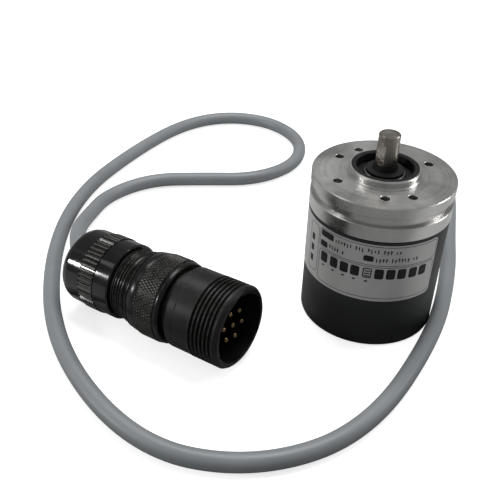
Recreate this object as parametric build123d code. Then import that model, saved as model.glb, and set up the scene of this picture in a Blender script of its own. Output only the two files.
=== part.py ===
from build123d import *
import os
from math import asin, cos, degrees, pi, radians, sin, tan

# Incremental rotary encoder with a round synchro flange, a solid shaft, and a moulded cable that
# ends in a round in-line receptacle. Millimetres, +Z along the shaft, origin at the centre of the
# cover's base, so the encoder stands on the plane z = 0 with its cable and connector lying there.

# ---- driving dimensions: housing -------------------------------------------------------------
FLANGE_R = 20.0
COVER_R = 19.85
COVER_WALL = 1.15
COVER_FLOOR = 2.0
COVER_TOP = 35.4
GASKET_T = 0.4
FLANGE_BASE = COVER_TOP + GASKET_T
FLANGE_TOP = 45.8
DISC_T = 3.2            # upper disc above the synchro groove
GROOVE_R = 19.0
GROOVE_H = 2.75
COLLAR_R = 10.0
COLLAR_TOP = 47.9
SPIGOT_R = COVER_R - COVER_WALL - 0.05
SPIGOT_BASE = 31.0
HUB_R = 12.2
HUB_BASE = 27.4
EDGE = 0.2              # broken edge on turned parts

# ---- driving dimensions: mounting holes ------------------------------------------------------
HOLE_CIRCLE_R = 14.5
HOLE_START = 33.6       # azimuth of the hole that both patterns share
M3_TAP_R = 1.25
HOLE_DEPTH = 6.0
HOLE_CHAMFER = 0.1

# ---- driving dimensions: shaft and bearings --------------------------------------------------
SHAFT_R = 3.0
SHAFT_TOP = 57.5
SHAFT_END = 20.6
SHAFT_CHAMFER = 0.3
SHOULDER_R = 4.2
FLAT_DEPTH = 0.4
FLAT_AZ = -130.0
FLAT_LOW, FLAT_HIGH = 48.9, 54.6
BEARING_R = 8.5
BEARING_W = 6.0
FRONT_BEARING_Z = 40.4
REAR_BEARING_Z = 32.2
PITCH_R = 5.75
BALL_R = 1.6
BALLS = 7
RACE_GAP = 0.06         # ball to raceway
INNER_RING_R = 4.6
OUTER_RING_R = 6.9
FIT = 0.02              # radial clearance of ground seats

# ---- driving dimensions: shaft seal ----------------------------------------------------------
SEAL_R = 9.3
SEAL_IN_R = 7.9
SEAL_TOP = 48.0
SEAL_LIP_R = 5.25
SEAL_LIP_TOP = 47.1
SEAL_CLEAR = 0.05
SEAL_RUN_R = 2.8        # the shaft is ground down a little where the lip runs

# ---- driving dimensions: optics and electronics ----------------------------------------------
DISC_R = 12.0
CODE_DISC_Z = 22.4
CODE_DISC_T = 0.8
TRACK_R = 10.8
OPTICS_AZ = 200.0
BOARD_TOP = 19.2
BOARD_T = 1.6
BOARD_R = 18.2
POST_CIRCLE_R = 15.4
POST_START = 20.0
POST_FLATS = 4.5
SCREW_R = 1.2

# ---- driving dimensions: label ---------------------------------------------------------------
LABEL_T = 0.1
LABEL_LOW, LABEL_HIGH = 16.1, 34.6
LABEL_FROM, LABEL_TO = -214.0, -34.0

# ---- driving dimensions: cable and gland -----------------------------------------------------
CABLE_R = 2.5
GLAND_AZ = 110.0
GLAND_END = 36.0        # distance from the shaft axis to the gland's outer face

# The cable's route, from the gland's outer face to the connector's rear: behind the encoder,
# round its right side, in a wide sweep in front and up the left side, one plain loop behind, and
# back into the connector, which lies on the surface.
ROUTE = [
    (-12.31, 33.83, 10.0),
    (-17.44, 47.93, 10.0),
    (-22.5, 68.5, 5.5),
    (-20.5, 89.0, 2.55),
    (-6.0, 102.0, 2.55),
    (14.0, 101.0, 2.55),
    (26.5, 86.0, 2.55),
    (27.0, 64.0, 2.55),
    (26.0, 42.0, 2.55),
    (25.5, 17.5, 2.55),
    (21.0, -13.5, 2.55),
    (4.5, -55.0, 2.55),
    (-21.0, -72.5, 2.55),
    (-51.0, -72.0, 2.55),
    (-84.0, -43.0, 2.55),
    (-103.0, -1.5, 2.55),
    (-109.0, 38.0, 2.55),
    (-100.0, 76.0, 2.55),
    (-88.0, 105.0, 2.55),
    (-71.0, 118.5, 2.55),
    (-50.0, 117.5, 2.55),
    (-34.5, 102.0, 2.55),
    (-33.5, 80.5, 2.55),
    (-47.0, 64.0, 2.55),
    (-68.0, 59.0, 2.55),
    (-86.5, 53.5, 2.55),
    (-98.5, 38.0, 2.55),
    (-99.2, 21.5, 3.4),
    (-97.6, 10.5, 6.0),
    (-94.0, 0.6, 8.9),
    (-89.3, -9.2, 10.9),
    (-83.937, -15.407, 11.437),
    (-77.914, -17.842, 11.656),
]

# ---- driving dimensions: connector, measured back from its front face ------------------------
SHELL_R = 11.75
THREAD_R = 11.85
THREAD_ROOT_R = 11.15
THREAD_PITCH = 1.27
THREAD_TURNS = 6
THREAD_START = 1.6
MOUTH_R = 10.0
MOUTH_DEPTH = 10.0
SHELL_END = 17.0
SHELL_LINE = 14.5
NECK_R = 10.2
RING_R = 12.34
RING_BAND = (21.0, 27.4)
RING_START, RING_END = 19.1, 30.3
BACK_START, BACK_END = 30.6, 38.6
REAR_THREAD_START, REAR_THREAD_PITCH = 33.7, 1.0
SEAL_GROOVE = 36.6
NUT_START, NUT_END = 37.8, 56.6
NUT_R = 11.35
NUT_KNURL_R = 11.64
NUT_KNURL = (43.3, 48.5)
NUT_TEETH = 52
NUT_ROOT_R = 11.25
NUT_BORE_R = 4.4
CONNECTOR_L = 49.5      # to the rubber bushing's rear face inside the nut, where the cable starts
PIN_R = 0.8
PIN_CIRCLE_R = 4.4
PIN_START = 43.0
PIN_TIP = 2.0
CORE_R = 9.4            # the backshell's tube that the two rings run on


def turned(outline):
    """A ring or disc turned about Z from a closed outline of (radius, height) points."""
    points = [(r, 0, z) for r, z in outline]
    return revolve(make_face(Polyline(points, close=True)), Axis.Z)


def ring(r_in, r_out, low, high):
    return turned([(r_in, low), (r_out, low), (r_out, high), (r_in, high)])


def rod(radius, low, high):
    return Pos(0, 0, (low + high) / 2) * Cylinder(radius, high - low)


def around(radius, angles, height=0.0):
    """Places on a circle about Z."""
    return [
        Pos(radius * cos(radians(a)), radius * sin(radians(a)), height) * Rot(0, 0, a)
        for a in angles
    ]


def write(name, *solids):
    shape = solids[0] if len(solids) == 1 else Compound(children=list(solids))
    export_step(shape, f"parts/{name}.step")


def single(shape):
    """The one solid of a boolean's result."""
    return shape.solids()[0]


# ---- housing ---------------------------------------------------------------------------------

def mounting_holes():
    square = [HOLE_START + 90 * k for k in range(4)]
    triangle = [HOLE_START + 120 * k for k in (1, 2)]
    return square + triangle


def mounting_flange():
    groove_low = FLANGE_TOP - DISC_T - GROOVE_H
    groove_high = FLANGE_TOP - DISC_T
    bore_r = BEARING_R
    clip_low, clip_high = 28.0, 28.75
    body = turned([
        (bore_r, HUB_BASE), (HUB_R, HUB_BASE), (HUB_R, SPIGOT_BASE), (SPIGOT_R, SPIGOT_BASE),
        (SPIGOT_R, 32.4), (17.5, 32.4), (17.5, 33.8), (SPIGOT_R, 33.8),
        (SPIGOT_R, FLANGE_BASE), (FLANGE_R, FLANGE_BASE), (FLANGE_R, groove_low - EDGE),
        (FLANGE_R - EDGE, groove_low), (GROOVE_R, groove_low), (GROOVE_R, groove_high),
        (FLANGE_R - EDGE, groove_high), (FLANGE_R, groove_high + EDGE),
        (FLANGE_R, FLANGE_TOP - EDGE), (FLANGE_R - EDGE, FLANGE_TOP),
        (COLLAR_R + 0.3, FLANGE_TOP), (COLLAR_R, FLANGE_TOP + 0.3),
        (COLLAR_R, COLLAR_TOP - 0.3), (COLLAR_R - 0.3, COLLAR_TOP), (SEAL_R + FIT, COLLAR_TOP),
        (SEAL_R + FIT, 44.0), (7.4, 44.0), (7.4, FRONT_BEARING_Z + BEARING_W / 2),
        (bore_r, FRONT_BEARING_Z + BEARING_W / 2), (bore_r, clip_high),
        (bore_r + 0.45, clip_high), (bore_r + 0.45, clip_low), (bore_r, clip_low),
    ])
    for place in around(HOLE_CIRCLE_R, mounting_holes(), FLANGE_TOP):
        body -= place * Pos(0, 0, -HOLE_DEPTH / 2) * Cylinder(M3_TAP_R, HOLE_DEPTH)
        body -= place * Pos(0, 0, -HOLE_CHAMFER / 2) * Cone(
            M3_TAP_R, M3_TAP_R + HOLE_CHAMFER, HOLE_CHAMFER
        )
    return single(body)


def gland_place(distance=0.0):
    """A frame on the gland's axis whose Z points outwards from the shaft axis."""
    out = Vector(cos(radians(GLAND_AZ)), sin(radians(GLAND_AZ)), 0)
    origin = out * distance + Vector(0, 0, ROUTE[0][2])
    return Plane(origin=origin, x_dir=(0, 0, 1), z_dir=out).location


def on_gland(shape):
    return gland_place() * shape


def cover_screw_places(height=0.0):
    return around(POST_CIRCLE_R, [POST_START + 120 * k for k in range(3)], height)


def cover():
    inner = COVER_R - COVER_WALL
    body = turned([
        (0, 0), (COVER_R - 0.45, 0), (COVER_R - 0.13, 0.13), (COVER_R, 0.45),
        (COVER_R, COVER_TOP), (inner, COVER_TOP), (inner, COVER_FLOOR), (0, COVER_FLOOR),
    ])
    body -= on_gland(rod(4.05, 12, 24))
    for place in cover_screw_places():
        body -= place * rod(1.3, -1, COVER_FLOOR + 1)
        body -= place * Pos(0, 0, 0.6) * Cone(2.35, 1.3, 1.2)
    return single(body)


def cover_screws():
    """Countersunk screws, sunk a little below the base, with cross slots."""
    screws = []
    for place in cover_screw_places():
        screw = rod(SCREW_R, 1.2, 7.0) + Pos(0, 0, 0.65) * Cone(2.2, SCREW_R, 1.1)
        for turn in (0, 90):
            screw -= Rot(0, 0, turn) * Pos(0, 0, 0.3) * Box(2.6, 0.5, 0.6)
        screws.append(place * single(screw))
    return screws


def posts(low, high, bore_low, bore_high):
    """Hexagonal spacers that carry the board between the flange and the cover's base."""
    solids = []
    for place in around(POST_CIRCLE_R, [POST_START + 120 * k for k in range(3)]):
        hexagon = RegularPolygon(POST_FLATS / 2, 6, major_radius=False)
        post = Pos(0, 0, low) * extrude(hexagon, high - low)
        post -= rod(SCREW_R + 0.05, bore_low, bore_high)
        solids.append(place * single(post))
    return solids


def label():
    """Metal foil wrapped about half way round the cover, with rounded corners."""
    span = LABEL_TO - LABEL_FROM
    height = LABEL_HIGH - LABEL_LOW
    band = ring(COVER_R, COVER_R + LABEL_T, LABEL_LOW, LABEL_HIGH)
    half = revolve(
        make_face(Polyline([(1, 0, 0), (30, 0, 0), (30, 0, 60), (1, 0, 60)], close=True)),
        Axis.Z, span,
    )
    foil = single(band & (Rot(0, 0, LABEL_FROM) * half))
    corner = 1.4
    for azimuth, side in ((LABEL_FROM, 1), (LABEL_TO, -1)):
        for edge, up in ((LABEL_LOW, 1), (LABEL_HIGH, -1)):
            block = Box(6, corner, corner) - Pos(0, side * corner / 2, up * corner / 2) * Rot(
                0, 90, 0
            ) * Cylinder(corner, 8)
            place = Rot(0, 0, azimuth) * Pos(COVER_R, side * corner / 2, edge + up * corner / 2)
            foil -= place * block
    return single(foil)


# ---- shaft and bearings ----------------------------------------------------------------------

def shaft():
    shoulder_low = FRONT_BEARING_Z + BEARING_W / 2
    clip_low, clip_high = 28.5, 29.15
    tip_r = SHAFT_R - 0.01
    body = turned([
        (0, SHAFT_END), (SHAFT_R - 0.3, SHAFT_END), (SHAFT_R, SHAFT_END + 0.3),
        (SHAFT_R, clip_low), (2.7, clip_low), (2.7, clip_high), (SHAFT_R, clip_high),
        (SHAFT_R, shoulder_low), (SHOULDER_R, shoulder_low), (SHOULDER_R, 44.4),
        (SEAL_RUN_R, 44.4), (SEAL_RUN_R, FLAT_LOW), (SHAFT_R, FLAT_LOW), (SHAFT_R, FLAT_HIGH),
        (tip_r, FLAT_HIGH), (tip_r, SHAFT_TOP - SHAFT_CHAMFER),
        (tip_r - SHAFT_CHAMFER, SHAFT_TOP), (0, SHAFT_TOP),
    ])
    flat_h = FLAT_HIGH - FLAT_LOW
    cutter = Pos(SHAFT_R - FLAT_DEPTH + 2, 0, FLAT_LOW + flat_h / 2) * Box(4, 8, flat_h)
    return single(body - Rot(0, 0, FLAT_AZ) * cutter)


def bearing_outer(z):
    half = BEARING_W / 2
    body = ring(OUTER_RING_R, BEARING_R - FIT / 2, z - half, z + half)
    return single(body - Pos(0, 0, z) * Torus(PITCH_R, BALL_R + RACE_GAP))


def bearing_inner(z):
    half = BEARING_W / 2
    body = ring(SHAFT_R, INNER_RING_R, z - half, z + half)
    return single(body - Pos(0, 0, z) * Torus(PITCH_R, BALL_R + RACE_GAP))


def bearing_balls(z):
    angles = [360 / BALLS * k for k in range(BALLS)]
    return [place * Sphere(BALL_R) for place in around(PITCH_R, angles, z)]


def bearing_cage(z):
    """Moulded crown cage: pockets open on one side, a rim that joins them on the other."""
    body = ring(5.2, 6.3, z - 0.9, z + 2.2)
    for place in around(PITCH_R, [360 / BALLS * k for k in range(BALLS)], z):
        body -= place * Sphere(BALL_R + 0.05)
    return single(body)


def bearing_shields(z):
    low, high = z - BEARING_W / 2 + 0.1, z + BEARING_W / 2 - 0.1
    return [ring(INNER_RING_R + 0.15, OUTER_RING_R, a, a + 0.3) for a in (low, high - 0.3)]


def split_ring(r_in, r_out, low, high, gap):
    body = ring(r_in, r_out, low, high)
    return single(body - Pos(r_out / 2 + r_in / 2, 0, (low + high) / 2) * Box(6, gap, 3))


def shaft_seal():
    """Rubber ring that fills the collar, a thin floor, and a raised lip that wipes the shaft."""
    wiper = SEAL_RUN_R + SEAL_CLEAR
    return single(turned([
        (SEAL_IN_R + 0.2, 45.3), (SEAL_IN_R, 45.6), (SEAL_IN_R, SEAL_TOP - 0.25),
        (SEAL_IN_R + 0.25, SEAL_TOP), (SEAL_R - 0.25, SEAL_TOP), (SEAL_R, SEAL_TOP - 0.25),
        (SEAL_R, 44.02), (7.5, 44.02), (7.5, 44.75), (wiper, 44.75),
        (wiper, 48.75), (3.25, 48.75), (3.55, SEAL_LIP_TOP + 0.15),
        (SEAL_LIP_R - 0.1, SEAL_LIP_TOP), (SEAL_LIP_R, SEAL_LIP_TOP - 0.1),
        (SEAL_LIP_R, SEAL_LIP_TOP - 0.6), (SEAL_LIP_R - 0.3, SEAL_LIP_TOP - 0.8),
        (SEAL_LIP_R - 0.3, 45.3),
    ]))


# ---- optics and electronics ------------------------------------------------------------------

def disc_hub():
    body = turned([
        (SHAFT_R, CODE_DISC_Z + CODE_DISC_T), (6.5, CODE_DISC_Z + CODE_DISC_T), (6.5, 24.0),
        (5.2, 24.0), (5.2, 26.9), (SHAFT_R, 26.9),
    ])
    return single(body - Pos(5, 0, 25.4) * Rot(0, 90, 0) * Cylinder(0.8, 4.6))


def optics(shape):
    return Rot(0, 0, OPTICS_AZ) * shape


def emitter_holder():
    """Moulded arm that hangs from the flange and carries the lamp over the disc's track."""
    leg = Pos(14.8, 0, 27.6) * Box(4.8, 6.4, 6.8)
    arm = Pos(TRACK_R + 0.2, 0, 25.7) * Box(6.0, 6.4, 3.0)
    body = leg + arm - Pos(TRACK_R, 0, 25.7) * Cylinder(1.55, 4)
    return optics(single(body))


def emitter_lamp():
    body = Pos(TRACK_R, 0, 26.1) * Cylinder(1.5, 2.0) + Pos(TRACK_R, 0, 25.1) * Sphere(1.2)
    return optics(single(body))


def sensor_frame():
    body = Box(7.4, 8.4, 1.7) - Box(5.4, 6.4, 3)
    return optics(Pos(TRACK_R, 0, BOARD_TOP + 0.85) * single(body))


def circuit_board():
    body = rod(BOARD_R, BOARD_TOP - BOARD_T, BOARD_TOP)
    for place in cover_screw_places():
        body -= place * rod(1.4, 10, 25)
    return single(body)


def board_chips():
    """Line driver, counter and regulator packages under the board, and two above it."""
    under, over = BOARD_TOP - BOARD_T, BOARD_TOP
    return [
        Pos(-3.5, 1, under - 0.8) * Box(9.9, 3.9, 1.6),
        Pos(4.5, -7, under - 0.8) * Box(4.9, 3.9, 1.6),
        Pos(-8, -4, under - 0.8) * Box(4.9, 3.9, 1.6),
        Pos(6, 6, over + 0.55) * Box(5, 4, 1.1),
        Pos(4, -9, over + 0.55) * Box(6, 3, 1.1),
    ]


def capacitors():
    under = BOARD_TOP - BOARD_T
    return [Pos(x, y, under - 2.7) * Cylinder(2.0, 5.4) for x, y in ((8.5, 1.0), (11.5, -4.5))]


def wire_header_place():
    return Rot(0, 0, GLAND_AZ) * Pos(7.6, 0, BOARD_TOP - BOARD_T)


WIRES = 7
WIRE_R = 0.42
WIRE_PITCH = 1.25


def wire_header():
    return wire_header_place() * Pos(0, 0, -1.6) * Box(2.6, WIRES * WIRE_PITCH + 1.0, 3.2)


def wire_bundle_spots():
    """One core in the middle and six round it, as the cable's cores lie."""
    return [(0.0, 0.0)] + [
        (1.1 * cos(radians(60 * k)), 1.1 * sin(radians(60 * k))) for k in range(6)
    ]


def lead_wires():
    """Cores from the cable's inner end up to the header under the board."""
    order = [5, 4, 0, 6, 3, 1, 2]
    spots = wire_bundle_spots()
    axis_z = ROUTE[0][2]
    solids = []
    for k, spot in enumerate(order):
        side, lift = spots[spot][1], spots[spot][0]
        row = (k - (WIRES - 1) / 2) * WIRE_PITCH
        top = BOARD_TOP - BOARD_T - 3.2
        points = [
            (12.9, side, axis_z + lift), (11.6, side, axis_z + lift),
            (7.6, row, axis_z + 1.2 + lift * 0.4), (7.6, row, top),
        ]
        path = FilletPolyline(*points, radius=0.9)
        section = Plane(origin=path @ 0, z_dir=path % 0) * Circle(WIRE_R)
        solids.append(Rot(0, 0, GLAND_AZ) * single(sweep(section, path=path)))
    return solids


# ---- cable gland -----------------------------------------------------------------------------

def hex_block(flats, low, high, bore):
    body = Pos(0, 0, low) * extrude(RegularPolygon(flats / 2, 6, major_radius=False), high - low)
    return body - rod(bore, low - 1, high + 1)


def gland_body():
    """Threaded stub through the cover's wall with a hexagon outside."""
    body = hex_block(11, 19.95, 24.0, 3.0) + ring(3.0, 4.0, 14.4, 19.95) + ring(3.0, 4.2, 24, 27.5)
    return on_gland(single(body))


def gland_inner_nut():
    return on_gland(single(hex_block(10, 15.3, 17.6, 4.0)))


def gland_nut():
    return on_gland(single(turned([
        (4.2, 24.2), (5.2, 24.2), (5.45, 24.6), (5.45, 28.6), (5.0, 29.8), (4.1, 30.6),
        (4.1, 28.0), (4.2, 28.0),
    ])))


def gland_grommet():
    """Rubber sleeve squeezed on the cable, drawn out into a short bend relief."""
    return on_gland(single(turned([
        (CABLE_R, 20.0), (3.0, 20.0), (3.0, 27.5), (4.2, 27.5), (4.2, 28.0), (4.1, 28.0),
        (4.1, 30.6), (3.7, 31.0), (3.1, GLAND_END), (CABLE_R, GLAND_END),
    ])))


def cable_inner_end():
    return on_gland(rod(CABLE_R, 12.9, GLAND_END))


# ---- cable -----------------------------------------------------------------------------------

def bend_radii(points):
    """Each bend takes 0.45 of the shorter of its two runs."""
    radii = []
    for a, b, c in zip(points, points[1:], points[2:]):
        before, after = Vector(*b) - Vector(*a), Vector(*c) - Vector(*b)
        half_turn = radians(before.get_angle(after)) / 2
        radii.append(0.45 * min(before.length, after.length) / tan(half_turn))
    return radii


def cable():
    radii = bend_radii(ROUTE)
    path = FilletPolyline(*ROUTE, radius=radii)
    section = Plane(origin=path @ 0, z_dir=path % 0) * Circle(CABLE_R)
    tube = single(sweep(section, path=path))
    expected = pi * CABLE_R ** 2 * path.length
    print("cable bend radii", [round(r, 1) for r in radii])
    print(f"cable length {path.length:.1f}, volume {tube.volume:.1f} of {expected:.1f}")
    return tube


# ---- connector -------------------------------------------------------------------------------

def connector_location():
    """The connector's own frame: origin at its front face, Z out of the mouth, Y upwards."""
    rear, before = Vector(*ROUTE[-1]), Vector(*ROUTE[-2])
    forward = (rear - before).normalized()
    sideways = Vector(0, 0, 1).cross(forward).normalized()
    front = rear + forward * CONNECTOR_L
    print("connector front", front, "axis", forward)
    return Plane(origin=front, x_dir=sideways, z_dir=forward).location


def back(outline):
    """An outline given as (radius, distance back from the front face)."""
    return turned([(r, -s) for r, s in outline])


def connector_shell():
    outline = [(MOUTH_R, 0), (10.9, 0), (11.5, 0.45), (THREAD_R, 1.0), (THREAD_R, THREAD_START)]
    for turn in range(THREAD_TURNS):
        start = THREAD_START + turn * THREAD_PITCH
        outline += [
            (THREAD_ROOT_R, start + 0.38), (THREAD_ROOT_R, start + 0.62),
            (THREAD_R, start + 1.0), (THREAD_R, start + THREAD_PITCH),
        ]
    thread_end = THREAD_START + THREAD_TURNS * THREAD_PITCH
    outline += [
        (THREAD_R, thread_end + 0.1), (SHELL_R, thread_end + 0.2), (SHELL_R, SHELL_LINE - 0.12),
        (SHELL_R - 0.12, SHELL_LINE), (SHELL_R, SHELL_LINE + 0.12), (SHELL_R, SHELL_END - 0.3),
        (SHELL_R - 0.3, SHELL_END), (NECK_R, SHELL_END), (NECK_R, RING_START - 0.2),
        (CORE_R, RING_START - 0.2), (CORE_R, RING_START - 2.2), (MOUTH_R, RING_START - 2.2),
    ]
    body = back(outline)
    for angle, width in ((90, 2.6), (200, 1.4), (155, 1.4), (-35, 1.4), (25, 1.4)):
        body -= Rot(0, 0, angle) * Pos(MOUTH_R, 0, -3.4) * Box(0.9, width, 7.2)
    return single(body)


def connector_insert():
    body = rod(MOUTH_R - 0.02, -RING_START + 2.6, -MOUTH_DEPTH)
    for place in pin_places():
        body -= place * rod(PIN_R, -30, 0)
    return single(body)


def pin_places():
    return [Pos(0, 0, 0)] + around(PIN_CIRCLE_R, [PIN_START + 60 * k for k in range(6)])


def connector_pins():
    """Round contacts with domed tips and solder ends behind the insert."""
    pins = []
    for place in pin_places():
        tip = Pos(0, 0, -PIN_TIP - PIN_R) * Sphere(PIN_R)
        pin = single(rod(PIN_R, -24.0, -PIN_TIP - PIN_R) + tip)
        pins.append(place * pin)
    return pins


def union_ring():
    low, high = RING_BAND
    return single(back([
        (CORE_R + 0.08, RING_START), (11.3, RING_START), (11.8, RING_START + 0.35),
        (12.0, RING_START + 0.9), (11.9, low - 0.25), (RING_R, low), (RING_R, high),
        (11.85, high + 0.2), (11.95, high + 0.6), (11.8, RING_END - 0.5), (11.4, RING_END),
        (CORE_R + 0.08, RING_END),
    ]))


def backshell():
    """Rear body: the tube the union ring runs on, a tapered shoulder, and the rear thread."""
    outline = [
        (8.2, RING_START - 0.2), (CORE_R, RING_START - 0.2), (CORE_R, BACK_START),
        (11.6, BACK_START), (11.6, BACK_START + 0.3), (10.9, 32.0), (10.5, 32.3),
        (10.75, 32.5), (10.9, 32.9), (10.9, 33.2), (10.7, 33.6),
    ]
    for turn in range(3):
        start = REAR_THREAD_START + turn * REAR_THREAD_PITCH
        outline += [(9.9, start), (9.9, start + 0.15), (10.35, start + 0.5), (10.35, start + 0.65)]
    return single(back(outline + [
        (9.7, SEAL_GROOVE), (9.7, SEAL_GROOVE + 0.8), (10.1, SEAL_GROOVE + 0.8),
        (10.1, BACK_END - 0.4), (9.8, BACK_END), (CORE_R, BACK_END), (CORE_R, 46.0), (8.2, 46.0),
    ]))


def backshell_seal():
    low, high = SEAL_GROOVE + 0.05, SEAL_GROOVE + 0.75
    return single(back([(9.7, low), (10.3, low + 0.1), (10.3, high - 0.1), (9.7, high)]))


def clamp_collet():
    """Plastic ring between the clamp nut and the bushing: it slides with the nut, unturned."""
    return single(back([(4.6, 49.5), (7.8, 49.5), (7.8, 52.4), (6.4, 53.2), (4.6, 53.2)]))


def clamp_nut():
    low, high = NUT_KNURL
    body = back([
        (10.4, NUT_START), (11.0, NUT_START), (NUT_R, NUT_START + 0.35),
        (NUT_R, low - 0.3), (10.9, low), (10.9, high), (NUT_R, high + 0.3), (NUT_R - 0.1, 53.6),
        (NUT_R - 0.45, 54.8), (10.2, 55.8), (9.2, NUT_END - 0.15), (8.4, NUT_END),
        (NUT_BORE_R, NUT_END), (NUT_BORE_R, 53.5), (8.1, 53.5), (8.1, 46.5),
        (CORE_R + 0.08, 46.5), (CORE_R + 0.08, BACK_END + 0.3), (10.4, BACK_END + 0.3),
    ])
    teeth = []
    for k in range(NUT_TEETH):
        for part, radius in (
            (0.0, NUT_KNURL_R), (0.26, NUT_KNURL_R), (0.5, NUT_ROOT_R), (0.76, NUT_ROOT_R)
        ):
            a = 2 * pi * (k + part) / NUT_TEETH
            teeth.append((radius * cos(a), radius * sin(a)))
    band = extrude(make_face(Polyline(teeth, close=True)), high - low)
    return single(body + Pos(0, 0, -high) * (band - Cylinder(10.5, 40)))


def cable_bushing():
    """Rubber bushing that the nut squeezes on the cable."""
    return single(back([
        (CABLE_R, 46.6), (7.3, 46.6), (7.6, 47.0), (7.6, CONNECTOR_L), (CABLE_R, CONNECTOR_L),
    ]))


def cable_plug_end():
    return back([(0, 44), (CABLE_R, 44), (CABLE_R, CONNECTOR_L), (0, CONNECTOR_L)])


# ---- write every piece -----------------------------------------------------------------------

os.makedirs("parts", exist_ok=True)

write("mounting_flange", mounting_flange())
write("flange_gasket", ring(SPIGOT_R + 0.05, COVER_R, COVER_TOP, FLANGE_BASE))
write("spigot_o_ring", Pos(0, 0, 33.1) * Torus(SPIGOT_R - 0.55, 0.58))
write("cover", cover())
write("cover_screws", *cover_screws())
write("label", label())
write("shaft_seal", shaft_seal())
write("seal_spring", Pos(0, 0, 45.95) * Torus(SEAL_LIP_R + 0.15, 0.4))

write("shaft", shaft())
for name, centre in (("front", FRONT_BEARING_Z), ("rear", REAR_BEARING_Z)):
    write(f"{name}_bearing_outer", bearing_outer(centre))
    write(f"{name}_bearing_inner", bearing_inner(centre))
    write(f"{name}_bearing_balls", *bearing_balls(centre))
    write(f"{name}_bearing_cage", bearing_cage(centre))
    write(f"{name}_bearing_shields", *bearing_shields(centre))
spacer_low = REAR_BEARING_Z + BEARING_W / 2
spacer_high = FRONT_BEARING_Z - BEARING_W / 2
write("outer_spacer", ring(7.3, BEARING_R - FIT / 2, spacer_low, spacer_high))
write("inner_spacer", ring(SHAFT_R, 4.3, spacer_low, spacer_high))
write("preload_washer", ring(7.1, 8.4, 28.75, REAR_BEARING_Z - BEARING_W / 2))
write("bearing_clip", split_ring(7.3, BEARING_R + 0.4, 28.05, 28.7, 5.0))
write("shaft_clip", split_ring(2.7, 4.4, 28.5, 29.15, 2.2))

write("disc_hub", disc_hub())
write("hub_screw", Pos(4.6, 0, 25.4) * Rot(0, 90, 0) * Cylinder(0.8, 2.4))
write("code_disc", ring(SHAFT_R + 0.1, DISC_R, CODE_DISC_Z, CODE_DISC_Z + CODE_DISC_T))
write("disc_clamp", ring(SHAFT_R, 6.0, CODE_DISC_Z - 0.7, CODE_DISC_Z))
write("emitter_holder", emitter_holder())
write("emitter_lamp", emitter_lamp())
write("photo_sensor", optics(Pos(TRACK_R, 0, BOARD_TOP + 0.6) * Box(5.2, 6.2, 1.2)))
write("sensor_frame", sensor_frame())
write("slit_plate", optics(Pos(TRACK_R, 0, BOARD_TOP + 1.95) * Box(7.0, 8.0, 0.5)))
write("circuit_board", circuit_board())
write("board_chips", *board_chips())
write("capacitors", *capacitors())
write("wire_header", wire_header())
write("lead_wires", *lead_wires())
write("upper_posts", *posts(BOARD_TOP, SPIGOT_BASE, BOARD_TOP - 1, BOARD_TOP + 4))
write("lower_posts", *posts(COVER_FLOOR, BOARD_TOP - BOARD_T, COVER_FLOOR - 1, 7.5))

write("gland_body", gland_body())
write("gland_inner_nut", gland_inner_nut())
write("gland_nut", gland_nut())
write("gland_grommet", gland_grommet())
write("cable_inner_end", cable_inner_end())
write("cable", cable())

place = connector_location()
write("connector_shell", place * connector_shell())
write("connector_insert", place * connector_insert())
write("connector_pins", *[place * pin for pin in connector_pins()])
write("union_ring", place * union_ring())
write("backshell", place * backshell())
write("backshell_seal", place * backshell_seal())
write("clamp_collet", place * clamp_collet())
write("clamp_nut", place * clamp_nut())
write("cable_bushing", place * cable_bushing())
write("cable_plug_end", place * cable_plug_end())
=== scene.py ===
import math
import random

import bmesh
import bpy
from mathutils import Matrix, Vector


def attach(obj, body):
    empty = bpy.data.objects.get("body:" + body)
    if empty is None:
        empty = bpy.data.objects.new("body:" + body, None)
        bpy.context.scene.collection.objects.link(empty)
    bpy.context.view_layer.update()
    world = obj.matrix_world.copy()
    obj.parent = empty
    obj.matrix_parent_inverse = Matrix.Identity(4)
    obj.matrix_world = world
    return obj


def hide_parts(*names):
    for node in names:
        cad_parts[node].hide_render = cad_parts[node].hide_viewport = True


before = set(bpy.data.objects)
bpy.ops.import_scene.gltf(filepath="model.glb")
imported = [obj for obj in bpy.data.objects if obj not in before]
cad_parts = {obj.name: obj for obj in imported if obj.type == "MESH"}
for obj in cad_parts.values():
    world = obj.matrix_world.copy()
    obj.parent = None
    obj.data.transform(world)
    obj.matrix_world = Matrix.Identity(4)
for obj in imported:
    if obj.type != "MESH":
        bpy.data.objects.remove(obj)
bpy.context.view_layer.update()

# ---- viewpoint -------------------------------------------------------------------------------
# The encoder stands a hand's width behind its connector and is looked down on from in front,
# with the whole sweep of the cable in view.
MM = 0.001
EYE = Vector((-4.048, -181.375, 140.654)) * MM
LOOK = Vector((-0.14654, 0.81016, -0.56760)).normalized()
RIGHT = Vector((0.97976, 0.19796, 0.02961)).normalized()

camera_data = bpy.data.cameras.new("bench_view")
camera_data.sensor_width = 36
camera_data.lens = 52.29
camera_data.clip_start = 0.005
camera = bpy.data.objects.new("bench_view", camera_data)
bpy.context.scene.collection.objects.link(camera)
camera.matrix_world = Matrix.Translation(EYE) @ Matrix(
    (RIGHT, RIGHT.cross(LOOK), -LOOK)
).transposed().to_4x4()
bpy.context.scene.camera = camera

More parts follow.
